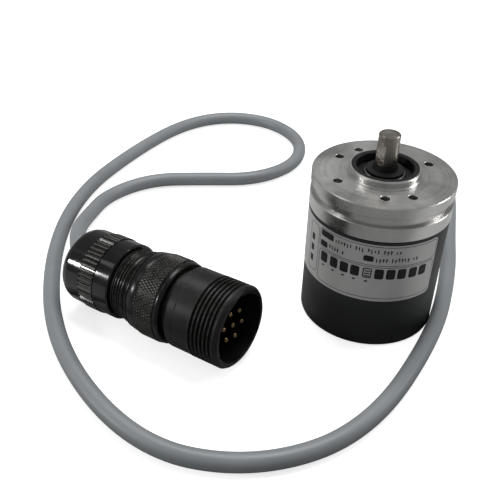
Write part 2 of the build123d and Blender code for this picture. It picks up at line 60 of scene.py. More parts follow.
# ---- cable -----------------------------------------------------------------------------------
# A round grey vinyl jacket, smooth from the extruder, with a low sheen and handling marks. It is
# clamped in the gland at the cover's base and in the bushing at the connector's rear.
CABLE_D = 5.0
CABLE_ROUTE = [
    (-12.31, 33.83, 10.0), (-17.44, 47.93, 10.0), (-22.5, 68.5, 5.5), (-20.5, 89.0, 2.55),
    (-6.0, 102.0, 2.55), (14.0, 101.0, 2.55), (26.5, 86.0, 2.55), (27.0, 64.0, 2.55),
    (26.0, 42.0, 2.55), (25.5, 17.5, 2.55), (21.0, -13.5, 2.55), (4.5, -55.0, 2.55),
    (-21.0, -72.5, 2.55), (-51.0, -72.0, 2.55), (-84.0, -43.0, 2.55), (-103.0, -1.5, 2.55),
    (-109.0, 38.0, 2.55), (-100.0, 76.0, 2.55), (-88.0, 105.0, 2.55), (-71.0, 118.5, 2.55),
    (-50.0, 117.5, 2.55), (-34.5, 102.0, 2.55), (-33.5, 80.5, 2.55), (-47.0, 64.0, 2.55),
    (-68.0, 59.0, 2.55), (-86.5, 53.5, 2.55), (-98.5, 38.0, 2.55), (-99.2, 21.5, 3.4),
    (-97.6, 10.5, 6.0), (-94.0, 0.6, 8.9), (-89.3, -9.2, 10.9), (-83.937, -15.407, 11.437),
    (-77.914, -17.842, 11.656),
]


def piece(name, data, body):
    """A new piece that moves with one of the bodies."""
    made = bpy.data.objects.new(name, data)
    bpy.context.scene.collection.objects.link(made)
    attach(made, body)
    return made


def new_finish(name, colour, roughness, metallic=0.0):
    """A material and its node tree, with the shader's constant values set."""
    finish = bpy.data.materials.new(name)
    finish.use_nodes = True
    shader = finish.node_tree.nodes["Principled BSDF"]
    shader.inputs["Base Color"].default_value = (*colour, 1)
    shader.inputs["Roughness"].default_value = roughness
    shader.inputs["Metallic"].default_value = metallic
    return finish, shader


def add(tree, kind, inputs=None, **settings):
    """One shader node: its settings first, then a value or a wire for each named input."""
    made = tree.nodes.new(kind)
    for key, value in settings.items():
        setattr(made, key, value)
    for key, value in (inputs or {}).items():
        if isinstance(value, bpy.types.NodeSocket):
            tree.links.new(value, made.inputs[key])
        else:
            made.inputs[key].default_value = value
    return made


def place_on(tree):
    """Where a point of the piece is, in metres, moving with the piece."""
    return add(tree, "ShaderNodeTexCoord").outputs["Object"]


def new_group(name, inputs, outputs):
    """An empty node group with named sockets, and the nodes at its two ends."""
    group = bpy.data.node_groups.new(name, "ShaderNodeTree")
    for socket, kind, value in inputs:
        made = group.interface.new_socket(socket, in_out="INPUT", socket_type=kind)
        if value is not None:
            made.default_value = value
    for socket, kind in outputs:
        group.interface.new_socket(socket, in_out="OUTPUT", socket_type=kind)
    return group, add(group, "NodeGroupInput").outputs, add(group, "NodeGroupOutput").inputs


# Slow blotches of handling and cleaning, from 0 to 1, and a fine grain for the surface.
handling, given, gives = new_group(
    "handling_marks",
    [("Place", "NodeSocketVector", None), ("Patches per metre", "NodeSocketFloat", 60.0),
     ("Grains per metre", "NodeSocketFloat", 4000.0)],
    [("Patches", "NodeSocketFloat"), ("Grain", "NodeSocketFloat")],
)
patches = add(handling, "ShaderNodeTexNoise", {
    "Vector": given["Place"], "Scale": given["Patches per metre"], "Detail": 4.0,
    "Roughness": 0.6,
})
spread = add(handling, "ShaderNodeMapRange", {
    "Value": patches.outputs["Fac"], "From Min": 0.32, "From Max": 0.68,
})
grains = add(handling, "ShaderNodeTexNoise", {
    "Vector": given["Place"], "Scale": given["Grains per metre"], "Detail": 2.0,
})
handling.links.new(spread.outputs["Result"], gives["Patches"])
handling.links.new(grains.outputs["Fac"], gives["Grain"])


def marks(tree, patch_scale, grain_scale, where=None):
    made = add(tree, "ShaderNodeGroup", node_tree=handling)
    tree.links.new(where or place_on(tree), made.inputs["Place"])
    made.inputs["Patches per metre"].default_value = patch_scale
    made.inputs["Grains per metre"].default_value = grain_scale
    return made.outputs


def vary(tree, shader, socket, factor, low, high):
    """Lets a mask swing one of the shader's colours or values between two limits."""
    if isinstance(low, tuple):
        mix = add(tree, "ShaderNodeMix", data_type="RGBA")
        tree.links.new(factor, mix.inputs["Factor"])
        mix.inputs[6].default_value = (*low, 1)
        mix.inputs[7].default_value = (*high, 1)
        result = mix.outputs[2]
    else:
        result = add(tree, "ShaderNodeMapRange", {
            "Value": factor, "To Min": low, "To Max": high,
        }).outputs["Result"]
    if shader is not None:
        tree.links.new(result, shader.inputs[socket])
    return result


def relief(tree, shader, height, depth_mm, strength=1.0, below=None):
    """Fine surface relief of a given depth."""
    bump = add(tree, "ShaderNodeBump", {
        "Height": height, "Distance": depth_mm * MM, "Strength": strength,
    })
    if below is not None:
        tree.links.new(below, bump.inputs["Normal"])
    tree.links.new(bump.outputs["Normal"], shader.inputs["Normal"])
    return bump.outputs["Normal"]


def dress(finish, *names):
    """Gives kept pieces of the frame their finish."""
    for name in names:
        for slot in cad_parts[name].material_slots:
            slot.material = finish


grey_vinyl, shader = new_finish("grey_vinyl", (0.23, 0.24, 0.25), 0.42)
tree = grey_vinyl.node_tree
found = marks(tree, 45.0, 2600.0)
vary(tree, shader, "Base Color", found["Patches"], (0.200, 0.213, 0.222), (0.232, 0.246, 0.256))
vary(tree, shader, "Roughness", found["Patches"], 0.36, 0.5)
relief(tree, shader, found["Grain"], 0.02, 0.35)

jacket = bpy.data.curves.new("cable_jacket", "CURVE")
jacket.dimensions = "3D"
jacket.bevel_depth = CABLE_D / 2 * MM
jacket.bevel_resolution = 8
jacket.resolution_u = 16
spline = jacket.splines.new("NURBS")
spline.points.add(len(CABLE_ROUTE) - 1)
for point, place in zip(spline.points, CABLE_ROUTE):
    point.co = (*(v * MM for v in place), 1)
spline.order_u = 3
spline.use_endpoint_u = True
jacket.materials.append(grey_vinyl)
cable = piece("cable_jacket", jacket, "housing")
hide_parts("cable")
dress(grey_vinyl, "cable_inner_end", "cable_plug_end")

# ---- bench and light -------------------------------------------------------------------------
# A plain white sheet under the parts, with shade painted on it in front: the light it throws
# back to the parts is darker there, a painted shade seen in their reflections. A small bright
# panel stands low at the left, softer ones stand round it and overhead, and the room is pale.
bench_finish, shader = new_finish("bench_paper", (0.5, 0.5, 0.5), 0.9)
tree = bench_finish.node_tree
found = marks(tree, 8.0, 900.0)
vary(tree, shader, "Roughness", found["Patches"], 0.85, 0.95)
# Painted shade: the colour the sheet throws back to the parts is darker in front of them, so
# their reflections of it darken there.
outward = add(tree, "ShaderNodeVectorMath", {0: place_on(tree)}, operation="NORMALIZE")
to_front = add(tree, "ShaderNodeVectorMath", {0: outward.outputs["Vector"], 1: (0, -1, 0)},
               operation="DOT_PRODUCT")
painted_front_shade = add(tree, "ShaderNodeMapRange", {
    "Value": to_front.outputs["Value"], "From Min": 0.35, "From Max": 0.85,
}, interpolation_type="SMOOTHSTEP")
vary(tree, shader, "Base Color", painted_front_shade.outputs["Result"], (0.55, 0.55, 0.55), (0.26, 0.26, 0.26))
paper = add(tree, "ShaderNodeBsdfDiffuse", {"Color": (0.8, 0.8, 0.8, 1)})
glow = add(tree, "ShaderNodeEmission", {"Color": (1, 1, 1, 1), "Strength": 0.72})
lit_paper = add(tree, "ShaderNodeAddShader", {0: paper.outputs[0], 1: glow.outputs[0]})
rays = add(tree, "ShaderNodeLightPath")
seen = add(tree, "ShaderNodeMixShader", {
    0: rays.outputs["Is Camera Ray"], 1: shader.outputs[0], 2: lit_paper.outputs[0],
})
tree.links.new(seen.outputs[0], tree.nodes["Material Output"].inputs["Surface"])
bench_mesh = bpy.data.meshes.new("bench")
bench_mesh.from_pydata([(-6, -6, 0), (6, -6, 0), (6, 6, 0), (-6, 6, 0)], [], [(0, 1, 2, 3)])
bench_mesh.materials.append(bench_finish)
bench = bpy.data.objects.new("bench", bench_mesh)
bpy.context.scene.collection.objects.link(bench)
bench.location.z = -0.0002

AIM = Vector((-0.02, 0, 0.02))
REACH = 0.7
for name, azimuth, height, width, tall, power in (
    ("left_panel", -157, 18, 0.06, 0.075, 1.2),
    ("high_left", -165, 48, 0.22, 0.22, 0.20),
    ("back_panel", 125, 62, 0.30, 0.25, 1.2),
    ("overhead", 60, 75, 0.35, 0.35, 2.6),
    ("right_panel", 20, 30, 0.12, 0.25, 0.8),
):
    lamp = bpy.data.lights.new(name, "AREA")
    lamp.shape = "RECTANGLE"
    lamp.size, lamp.size_y, lamp.energy = width, tall, power
    panel = bpy.data.objects.new(name, lamp)
    bpy.context.scene.collection.objects.link(panel)
    turn, rise = math.radians(azimuth), math.radians(height)
    away = Vector((math.cos(rise) * math.cos(turn), math.cos(rise) * math.sin(turn),
                   math.sin(rise)))
    panel.location = AIM + away * REACH
    panel.rotation_euler = (-away).to_track_quat("-Z", "Y").to_euler()

room = bpy.data.worlds.new("room")
room.use_nodes = True
tree = room.node_tree
walls = tree.nodes["Background"]
walls.inputs["Color"].default_value = (0.98, 0.99, 1.0, 1)
walls.inputs["Strength"].default_value = 0.27
backdrop = add(tree, "ShaderNodeBackground", {"Color": (1, 1, 1, 1), "Strength": 0.95})
rays = add(tree, "ShaderNodeLightPath")
seen = add(tree, "ShaderNodeMixShader", {
    0: rays.outputs["Is Camera Ray"], 1: walls.outputs[0], 2: backdrop.outputs[0],
})
tree.links.new(seen.outputs[0], tree.nodes["World Output"].inputs["Surface"])
bpy.context.scene.world = room
bpy.context.scene.view_settings.view_transform = "Standard"

# ---- mounting flange -------------------------------------------------------------------------
# Turned from aluminium bar: fine tool marks run round every face, the pilot collar is bright,
# and the broken edges catch the light. The M3 holes are drilled and countersunk.
turned, given, gives = new_group(
    "turned_marks",
    [("Place", "NodeSocketVector", None), ("Marks per metre", "NodeSocketFloat", 5000.0)],
    [("Height", "NodeSocketFloat"), ("Bands", "NodeSocketFloat")],
)
parts = add(turned, "ShaderNodeSeparateXYZ", {"Vector": given["Place"]})
flat = add(turned, "ShaderNodeCombineXYZ", {"X": parts.outputs["X"], "Y": parts.outputs["Y"]})
radius = add(turned, "ShaderNodeVectorMath", {0: flat.outputs["Vector"]}, operation="LENGTH")
along = add(turned, "ShaderNodeMath", {0: radius.outputs["Value"], 1: parts.outputs["Z"]},
            operation="ADD")
scaled = add(turned, "ShaderNodeMath", {0: along.outputs["Value"], 1: given["Marks per metre"]},
             operation="MULTIPLY")
fine = add(turned, "ShaderNodeTexNoise", {"W": scaled.outputs["Value"], "Scale": 1.0,
                                          "Detail": 3.0}, noise_dimensions="1D")
broad = add(turned, "ShaderNodeTexNoise", {"W": scaled.outputs["Value"], "Scale": 0.12,
                                           "Detail": 2.0}, noise_dimensions="1D")
turned.links.new(fine.outputs["Fac"], gives["Height"])
turned.links.new(broad.outputs["Fac"], gives["Bands"])


def turning(tree, per_metre, where=None):
    made = add(tree, "ShaderNodeGroup", node_tree=turned)
    tree.links.new(where or place_on(tree), made.inputs["Place"])
    made.inputs["Marks per metre"].default_value = per_metre
    return made.outputs


turned_aluminium, shader = new_finish("turned_aluminium", (0.60, 0.60, 0.59), 0.3, 1.0)
tree = turned_aluminium.node_tree
found = marks(tree, 90.0, 5200.0)
rings = turning(tree, 6500.0)
vary(tree, shader, "Base Color", found["Patches"], (0.50, 0.495, 0.48), (0.64, 0.635, 0.62))
roughness = vary(tree, None, "", found["Patches"], 0.24, 0.36)
band = vary(tree, None, "", rings["Bands"], -0.06, 0.06)
total = add(tree, "ShaderNodeMath", {0: roughness, 1: band}, operation="ADD")
tree.links.new(total.outputs["Value"], shader.inputs["Roughness"])
cut = relief(tree, shader, rings["Height"], 0.012, 0.5)
relief(tree, shader, found["Grain"], 0.006, 0.4, below=cut)
dress(turned_aluminium, "mounting_flange", "outer_spacer")

# ---- cover -----------------------------------------------------------------------------------
# A deep-drawn aluminium can in a matt charcoal stove enamel with a fine, even texture, slipped
# over the flange's spigot and held by three screws sunk in its base.
charcoal, shader = new_finish("charcoal_enamel", (0.009, 0.010, 0.010), 0.6)
tree = charcoal.node_tree
found = marks(tree, 70.0, 6000.0)
vary(tree, shader, "Base Color", found["Patches"], (0.007, 0.008, 0.008), (0.012, 0.013, 0.013))
vary(tree, shader, "Roughness", found["Patches"], 0.5, 0.66)
relief(tree, shader, found["Grain"], 0.02, 0.5)
dress(charcoal, "cover")

# ---- seals and gaskets -----------------------------------------------------------------------
# Black nitrile rubber: the lip seal pressed in the collar, the thin gasket between flange and
# cover, the O-rings, the gland's sleeve and the connector's bushing.
rubber, shader = new_finish("black_rubber", (0.006, 0.006, 0.006), 0.5)
shader.inputs["Specular IOR Level"].default_value = 0.22
tree = rubber.node_tree
found = marks(tree, 120.0, 5000.0)
vary(tree, shader, "Base Color", found["Patches"], (0.003, 0.003, 0.003), (0.008, 0.008, 0.008))
vary(tree, shader, "Roughness", found["Patches"], 0.45, 0.7)
relief(tree, shader, found["Grain"], 0.015, 0.4)
dress(rubber, "flange_gasket", "spigot_o_ring", "shaft_seal", "gland_grommet",
      "backshell_seal", "cable_bushing")

# ---- shaft -----------------------------------------------------------------------------------
# Stainless steel, centreless ground, with a chamfered end and a short milled flat for the
# coupling's screw.
ground_steel, shader = new_finish("ground_steel", (0.22, 0.20, 0.18), 0.3, 1.0)
tree = ground_steel.node_tree
found = marks(tree, 220.0, 7000.0)
rings = turning(tree, 14000.0)
vary(tree, shader, "Base Color", found["Patches"], (0.21, 0.19, 0.165), (0.38, 0.355, 0.32))
vary(tree, shader, "Roughness", found["Patches"], 0.24, 0.42)
relief(tree, shader, rings["Height"], 0.006, 0.6)
dress(ground_steel, "shaft")

# ---- bearings --------------------------------------------------------------------------------
# Two small deep-groove ball bearings on one bore: polished steel rings and balls, moulded
# cages, pressed shields, spacers and spring clips.
bearing_steel, shader = new_finish("bearing_steel", (0.55, 0.55, 0.55), 0.18, 1.0)
tree = bearing_steel.node_tree
found = marks(tree, 150.0, 6000.0)
vary(tree, shader, "Roughness", found["Patches"], 0.12, 0.28)
relief(tree, shader, turning(tree, 12000.0)["Height"], 0.004, 0.4)
for end in ("front", "rear"):
    dress(bearing_steel, *(f"{end}_bearing_{p}" for p in ("outer", "inner", "balls", "shields")))
dress(bearing_steel, "inner_spacer")

spring_steel, shader = new_finish("spring_steel", (0.20, 0.20, 0.21), 0.35, 1.0)
tree = spring_steel.node_tree
found = marks(tree, 300.0, 6000.0)
vary(tree, shader, "Roughness", found["Patches"], 0.28, 0.45)
dress(spring_steel, "preload_washer", "bearing_clip", "shaft_clip", "seal_spring")

nylon, shader = new_finish("natural_nylon", (0.62, 0.57, 0.45), 0.45)
tree = nylon.node_tree
found = marks(tree, 200.0, 5000.0)
vary(tree, shader, "Base Color", found["Patches"], (0.56, 0.51, 0.40), (0.66, 0.61, 0.50))
relief(tree, shader, found["Grain"], 0.01, 0.3)
dress(nylon, "front_bearing_cage", "rear_bearing_cage", "wire_header", "clamp_collet")

# ---- screws ----------------------------------------------------------------------------------
# Zinc-plated machine screws with cross slots.
zinc, shader = new_finish("zinc_plate", (0.50, 0.50, 0.48), 0.32, 1.0)
tree = zinc.node_tree
found = marks(tree, 400.0, 6000.0)
vary(tree, shader, "Base Color", found["Patches"], (0.42, 0.42, 0.40), (0.58, 0.58, 0.57))
vary(tree, shader, "Roughness", found["Patches"], 0.25, 0.42)
dress(zinc, "cover_screws", "hub_screw")

# ---- code disc and hub -----------------------------------------------------------------------
# A glass disc with a ring of chromium slits near its rim, cemented and clamped to a brass hub
# that a set screw fixes on the shaft's end.
SLITS = 500
TRACK = (9.9, 11.4)
disc_glass, shader = new_finish("disc_glass", (0.80, 0.86, 0.84), 0.06)
shader.inputs["Transmission Weight"].default_value = 0.9
shader.inputs["IOR"].default_value = 1.52
tree = disc_glass.node_tree
parts = add(tree, "ShaderNodeSeparateXYZ", {"Vector": place_on(tree)})
turn = add(tree, "ShaderNodeMath", {0: parts.outputs["Y"], 1: parts.outputs["X"]},
           operation="ARCTAN2")
count = add(tree, "ShaderNodeMath", {0: turn.outputs["Value"], 1: SLITS / math.tau},
            operation="MULTIPLY")
slit = add(tree, "ShaderNodeMath", {0: count.outputs["Value"], 1: 0.5}, operation="PINGPONG")
level = add(tree, "ShaderNodeMath", {0: slit.outputs["Value"], 1: 0.25},
            operation="GREATER_THAN")
flat = add(tree, "ShaderNodeCombineXYZ", {"X": parts.outputs["X"], "Y": parts.outputs["Y"]})
radius = add(tree, "ShaderNodeVectorMath", {0: flat.outputs["Vector"]}, operation="LENGTH")
off_track = add(tree, "ShaderNodeMath", {0: radius.outputs["Value"], 1: sum(TRACK) / 2 * MM},
                operation="SUBTRACT")
away = add(tree, "ShaderNodeMath", {0: off_track.outputs["Value"]}, operation="ABSOLUTE")
in_track = add(tree, "ShaderNodeMath", {0: away.outputs["Value"],
                                        1: (TRACK[1] - TRACK[0]) / 2 * MM},
               operation="LESS_THAN")
chromium = add(tree, "ShaderNodeMath", {0: level.outputs["Value"], 1: in_track.outputs["Value"]},
               operation="MULTIPLY")
vary(tree, shader, "Base Color", chromium.outputs["Value"], (0.80, 0.86, 0.84),
     (0.05, 0.05, 0.06))
dress(disc_glass, "code_disc", "slit_plate")

brass, shader = new_finish("turned_brass", (0.62, 0.43, 0.16), 0.28, 1.0)
tree = brass.node_tree
found = marks(tree, 200.0, 6000.0)
vary(tree, shader, "Base Color", found["Patches"], (0.52, 0.36, 0.14), (0.70, 0.50, 0.22))
vary(tree, shader, "Roughness", found["Patches"], 0.22, 0.4)
relief(tree, shader, turning(tree, 9000.0)["Height"], 0.006, 0.4)
dress(brass, "disc_hub", "disc_clamp", "upper_posts", "lower_posts")

# ---- optics and circuit board ----------------------------------------------------------------
# A lamp in a black moulded arm over the disc, a sensor in a frame under it, and the board that
# carries the counters, line drivers, capacitors and the header for the cable's cores.
black_plastic, shader = new_finish("black_plastic", (0.02, 0.02, 0.021), 0.5)
tree = black_plastic.node_tree
found = marks(tree, 200.0, 7000.0)
vary(tree, shader, "Roughness", found["Patches"], 0.42, 0.6)
relief(tree, shader, found["Grain"], 0.012, 0.5)
dress(black_plastic, "emitter_holder", "sensor_frame", "board_chips", "connector_insert")

lamp_resin, shader = new_finish("lamp_resin", (0.72, 0.78, 0.88), 0.08)
shader.inputs["Transmission Weight"].default_value = 0.85
tree = lamp_resin.node_tree
vary(tree, shader, "Roughness", marks(tree, 500.0, 4000.0)["Patches"], 0.05, 0.14)
dress(lamp_resin, "emitter_lamp")

dark_resin, shader = new_finish("dark_resin", (0.03, 0.034, 0.05), 0.15)
tree = dark_resin.node_tree
vary(tree, shader, "Roughness", marks(tree, 500.0, 4000.0)["Patches"], 0.1, 0.22)
dress(dark_resin, "photo_sensor")

solder_mask, shader = new_finish("solder_mask", (0.015, 0.12, 0.05), 0.28)
tree = solder_mask.node_tree
tracks = add(tree, "ShaderNodeTexBrick", {
    "Vector": place_on(tree), "Color1": (0.014, 0.11, 0.045, 1),
    "Color2": (0.02, 0.15, 0.065, 1), "Mortar": (0.03, 0.22, 0.10, 1), "Scale": 320.0,
    "Mortar Size": 0.03,
})
tree.links.new(tracks.outputs["Color"], shader.inputs["Base Color"])
relief(tree, shader, tracks.outputs["Fac"], 0.03, 0.4)
dress(solder_mask, "circuit_board")

can_metal, shader = new_finish("can_metal", (0.56, 0.57, 0.6), 0.25, 1.0)
tree = can_metal.node_tree
vary(tree, shader, "Roughness", marks(tree, 400.0, 4000.0)["Patches"], 0.18, 0.36)
dress(can_metal, "capacitors")

core_colours, shader = new_finish("core_colours", (0.4, 0.1, 0.05), 0.4)
tree = core_colours.node_tree
which = add(tree, "ShaderNodeNewGeometry").outputs["Random Per Island"]
ramp = add(tree, "ShaderNodeValToRGB", {"Fac": which})
ramp.color_ramp.interpolation = "CONSTANT"
CORES = [
    (0.55, 0.54, 0.5), (0.16, 0.06, 0.025), (0.03, 0.2, 0.05), (0.6, 0.45, 0.03),
    (0.2, 0.2, 0.21), (0.55, 0.16, 0.2), (0.03, 0.06, 0.3),
]
for k, colour in enumerate(CORES):
    stops = ramp.color_ramp.elements
    stop = stops[k] if k < 2 else stops.new(k / len(CORES))
    stop.position = k / len(CORES)
    stop.color = (*colour, 1)
tree.links.new(ramp.outputs["Color"], shader.inputs["Base Color"])
dress(core_colours, "lead_wires")

# ---- cable gland -----------------------------------------------------------------------------
# Nickel-plated brass: a hexagon screwed in the cover's wall, held by a nut inside, and a domed
# nut that squeezes the rubber sleeve on the cable.
nickel, shader = new_finish("nickel_plate", (0.52, 0.50, 0.46), 0.25, 1.0)
tree = nickel.node_tree
found = marks(tree, 260.0, 6000.0)
vary(tree, shader, "Base Color", found["Patches"], (0.44, 0.42, 0.38), (0.58, 0.57, 0.54))
vary(tree, shader, "Roughness", found["Patches"], 0.18, 0.36)
dress(nickel, "gland_body", "gland_inner_nut", "gland_nut")

# ---- label -----------------------------------------------------------------------------------
# Printed metal foil with rounded corners, wrapped on the cover. The dark ink shows two ruled
# frames, a box in the margin, lines of type as plain marks, and a row of boxes.
foil, shader = new_finish("label_foil", (0.40, 0.40, 0.39), 0.4, 0.35)
tree = foil.node_tree
found = marks(tree, 80.0, 7000.0)
vary(tree, shader, "Base Color", found["Patches"], (0.44, 0.44, 0.43), (0.52, 0.52, 0.51))
vary(tree, shader, "Roughness", found["Patches"], 0.34, 0.46)
relief(tree, shader, found["Grain"], 0.006, 0.5)
dress(foil, "label")

PRINT_R = 19.962
LINE = 0.16
CORNER_STEPS = 6
random.seed(11)
print_mesh = bmesh.new()


def on_label(azimuth, z):
    a = math.radians(azimuth)
    return Vector((PRINT_R * math.cos(a), PRINT_R * math.sin(a), z)) * MM


def loop_points(left, right, low, high, corner):
    """A rounded box on the label, sides in degrees and heights in millimetres."""
    degree = math.degrees(corner / PRINT_R)
    centres = [
        (right - degree, high - corner, 0), (left + degree, high - corner, 90),
        (left + degree, low + corner, 180), (right - degree, low + corner, 270),
    ]
    points = []
    steps = max(2, int((right - left) / 2))
    for k, (azimuth, z, start) in enumerate(centres):
        for j in range(CORNER_STEPS + 1):
            a = math.radians(start + 90 / CORNER_STEPS * j)
            points.append((azimuth + degree * math.cos(a), z + corner * math.sin(a)))
        ahead = centres[(k + 1) % 4]
        if k % 2 == 0:
            far = ahead[0]
            edge = points[-1][1]
            points += [
                (azimuth + (far - azimuth) * j / steps, edge) for j in range(1, steps)
            ]
    return points


def ruled(left, right, low, high, corner, line):
    """The outline of a rounded box, drawn with an even line."""
    inset = math.degrees(line / PRINT_R)
    outer = loop_points(left, right, low, high, corner)
    inner = loop_points(left + inset, right - inset, low + line, high - line, corner - line)
    count = min(len(outer), len(inner))
    ring = [
        (print_mesh.verts.new(on_label(*outer[k])), print_mesh.verts.new(on_label(*inner[k])))
        for k in range(count)
    ]
    for k in range(count):
        (a, b), (c, d) = ring[k], ring[(k + 1) % count]
        print_mesh.faces.new((a, c, d, b))


def solid_box(left, right, low, high, corner):
    """A filled rounded box, in upright strips that follow the cover's curve."""
    degree = math.degrees(corner / PRINT_R)
    columns = []
    for j in range(CORNER_STEPS + 1):
        a = math.radians(90 / CORNER_STEPS * j)
        columns.append((left + degree * (1 - math.cos(a)), corner * (1 - math.sin(a))))
    columns = sorted(set(columns))
    steps = max(1, int((right - left) / 1.5))
    middle = [
        (left + degree + (right - left - 2 * degree) * j / steps, 0) for j in range(1, steps)
    ]
    mirrored = [(left + right - azimuth, cut) for azimuth, cut in reversed(columns)]
    strip = [
        (print_mesh.verts.new(on_label(azimuth, low + cut)),
         print_mesh.verts.new(on_label(azimuth, high - cut)))
        for azimuth, cut in columns + middle + mirrored
    ]
    for (a, b), (c, d) in zip(strip, strip[1:]):
        print_mesh.faces.new((a, c, d, b))


MARK_WIDTH, MARK_STEP, WORD_GAP = 0.9, 2.55, 2.0


def type_line(left, right, middle, height):
    """A line of type shown as plain small marks, in words."""
    azimuth = left
    while azimuth < right - 2:
        for _ in range(random.randint(3, 7)):
            if azimuth > right - 2:
                break
            tall = random.choice((0.5, 0.42, 0.5, 0.3)) * height
            lean = random.choice((0.0, 0.0, 0.15, -0.15)) * height
            foot = azimuth + MARK_WIDTH
            solid_box(azimuth, foot, middle - tall + lean, middle + tall + lean, 0.05)
            if random.random() < 0.5:
                solid_box(foot, azimuth + 1.7, middle + lean, middle + 0.3 + lean, 0.05)
            azimuth += MARK_STEP
        azimuth += WORD_GAP


ruled(-138.5, -34.9, 28.0, 34.1, 1.2, LINE)
ruled(-137.6, -35.4, 17.0, 27.6, 1.3, LINE)
ruled(-153.0, -139.6, 18.2, 33.6, 1.3, LINE)
for left, right, low, high in (
    (-136.9, -123.5, 31.7, 33.7), (-136.9, -129.0, 28.5, 30.4), (-97.3, -89.4, 29.2, 31.0),
):
    solid_box(left, right, low, high, 0.5)
type_line(-121.5, -68.0, 32.5, 1.3)
type_line(-127.0, -112.0, 29.6, 1.3)
type_line(-87.5, -52.5, 29.9, 1.3)
BOXES = (-135.0, -124.8, -115.4, -106.3, -96.5, -87.2, -78.1, -69.2, -59.7, -50.6)
BOX_WIDTH, BOX_LOW, BOX_HIGH = 7.2, 23.7, 27.0
for k, left in enumerate(BOXES):
    if k == 4:
        ruled(left, left + BOX_WIDTH, BOX_LOW, BOX_HIGH, 0.6, 0.35)
        for rise in (24.2, 25.0, 25.8):
            solid_box(left + 1.5, left + 5.7, rise, rise + 0.4, 0.1)
    else:
        solid_box(left, left + BOX_WIDTH, BOX_LOW, BOX_HIGH, 0.6)
    if k < 5:
        solid_box(left + 2.2, left + 4.6, 22.4, 22.9, 0.1)
for middle in (22.0, 25.5, 29.0):
    solid_box(-150.0, -145.6, middle - 1.2, middle + 1.0, 0.4)

ink, shader = new_finish("label_ink", (0.010, 0.011, 0.012), 0.5)
shader.inputs["Specular IOR Level"].default_value = 0.2
tree = ink.node_tree
found = marks(tree, 500.0, 9000.0)
vary(tree, shader, "Base Color", found["Patches"], (0.006, 0.007, 0.008), (0.022, 0.022, 0.022))
vary(tree, shader, "Roughness", found["Patches"], 0.42, 0.6)
print_data = bpy.data.meshes.new("label_print")
print_mesh.to_mesh(print_data)
print_mesh.free()
print_data.materials.append(ink)
label_print = piece("label_print", print_data, "housing")

# ---- connector -------------------------------------------------------------------------------
# Turned aluminium, black anodised: a satin threaded shell with a keyed mouth, a backshell with
# its own thread, and a polished clamp nut with a straight knurl. Edges are rubbed, and the
# knurls' crests are paler: partly wear, partly a painted highlight.
CONNECTOR_AXIS = Vector((0.926575, -0.374599, 0.033691)).normalized()
CONNECTOR_FRONT = Vector((-32.0486, -36.3846, 13.3237))
across = Vector((0, 0, 1)).cross(CONNECTOR_AXIS).normalized()
connector_place = Matrix(
    (across, CONNECTOR_AXIS.cross(across), CONNECTOR_AXIS)
).transposed().to_4x4()
connector_place.translation = CONNECTOR_FRONT * MM
to_connector = connector_place.inverted()


def along_connector(tree):
    """Place in the connector's own frame: Z along its axis, nought at its front face."""
    rows = [tuple(to_connector[k][:3]) for k in range(3)]
    where = place_on(tree)
    sums = []
    for k, row in enumerate(rows):
        dot = add(tree, "ShaderNodeVectorMath", {0: where, 1: row}, operation="DOT_PRODUCT")
        shifted = add(tree, "ShaderNodeMath", {0: dot.outputs["Value"], 1: to_connector[k][3]},
                      operation="ADD")
        sums.append(shifted.outputs["Value"])
    return add(tree, "ShaderNodeCombineXYZ", {"X": sums[0], "Y": sums[1], "Z": sums[2]}).outputs[
        "Vector"
    ]


rubbed, given, gives = new_group(
    "rubbed_edges",
    [("Width", "NodeSocketFloat", 0.0002), ("Breaks per metre", "NodeSocketFloat", 900.0),
     ("Place", "NodeSocketVector", None)],
    [("Mask", "NodeSocketFloat")],
)
softened = add(rubbed, "ShaderNodeBevel", {"Radius": given["Width"]}, samples=4)
true_normal = add(rubbed, "ShaderNodeNewGeometry").outputs["Normal"]
agree = add(rubbed, "ShaderNodeVectorMath", {0: softened.outputs["Normal"], 1: true_normal},
            operation="DOT_PRODUCT")
edge = add(rubbed, "ShaderNodeMapRange", {"Value": agree.outputs["Value"], "From Min": 0.985,
                                          "From Max": 0.90})
breaks = add(rubbed, "ShaderNodeTexNoise", {"Vector": given["Place"], "Detail": 3.0,
                                            "Scale": given["Breaks per metre"]})
broken = add(rubbed, "ShaderNodeMapRange", {"Value": breaks.outputs["Fac"], "From Min": 0.42,
                                            "From Max": 0.62})
both = add(rubbed, "ShaderNodeMath", {0: edge.outputs["Result"], 1: broken.outputs["Result"]},
           operation="MULTIPLY")
rubbed.links.new(both.outputs["Value"], gives["Mask"])


# Paler knurl crests: partly real rubbed wear, partly a painted highlight standing for the bright
# lines the light draws along them.
crests, given, gives = new_group(
    "crest_wear_and_painted_highlight",
    [("Place", "NodeSocketVector", None), ("Crest radius", "NodeSocketFloat", 0.0116),
     ("Patches", "NodeSocketFloat", 0.5)],
    [("Mask", "NodeSocketFloat")],
)
sides = add(crests, "ShaderNodeSeparateXYZ", {"Vector": given["Place"]})
flat = add(crests, "ShaderNodeCombineXYZ", {"X": sides.outputs["X"], "Y": sides.outputs["Y"]})
radius = add(crests, "ShaderNodeVectorMath", {0: flat.outputs["Vector"]}, operation="LENGTH")
below = add(crests, "ShaderNodeMath", {0: given["Crest radius"], 1: 0.07 * MM},
            operation="SUBTRACT")
top = add(crests, "ShaderNodeMath", {0: given["Crest radius"], 1: 0.01 * MM},
          operation="SUBTRACT")
high = add(crests, "ShaderNodeMapRange", {
    "Value": radius.outputs["Value"], "From Min": below.outputs["Value"],
    "From Max": top.outputs["Value"],
})
uneven = vary(crests, None, "", given["Patches"], 0.55, 1.0)
crest_wear_and_highlight = add(crests, "ShaderNodeMath", {0: high.outputs["Result"], 1: uneven},
                 operation="MULTIPLY")
crests.links.new(crest_wear_and_highlight.outputs["Value"], gives["Mask"])

FILM_DARK = (0.0030, 0.0028, 0.0025)
FILM_PALE = (0.0075, 0.0070, 0.0063)


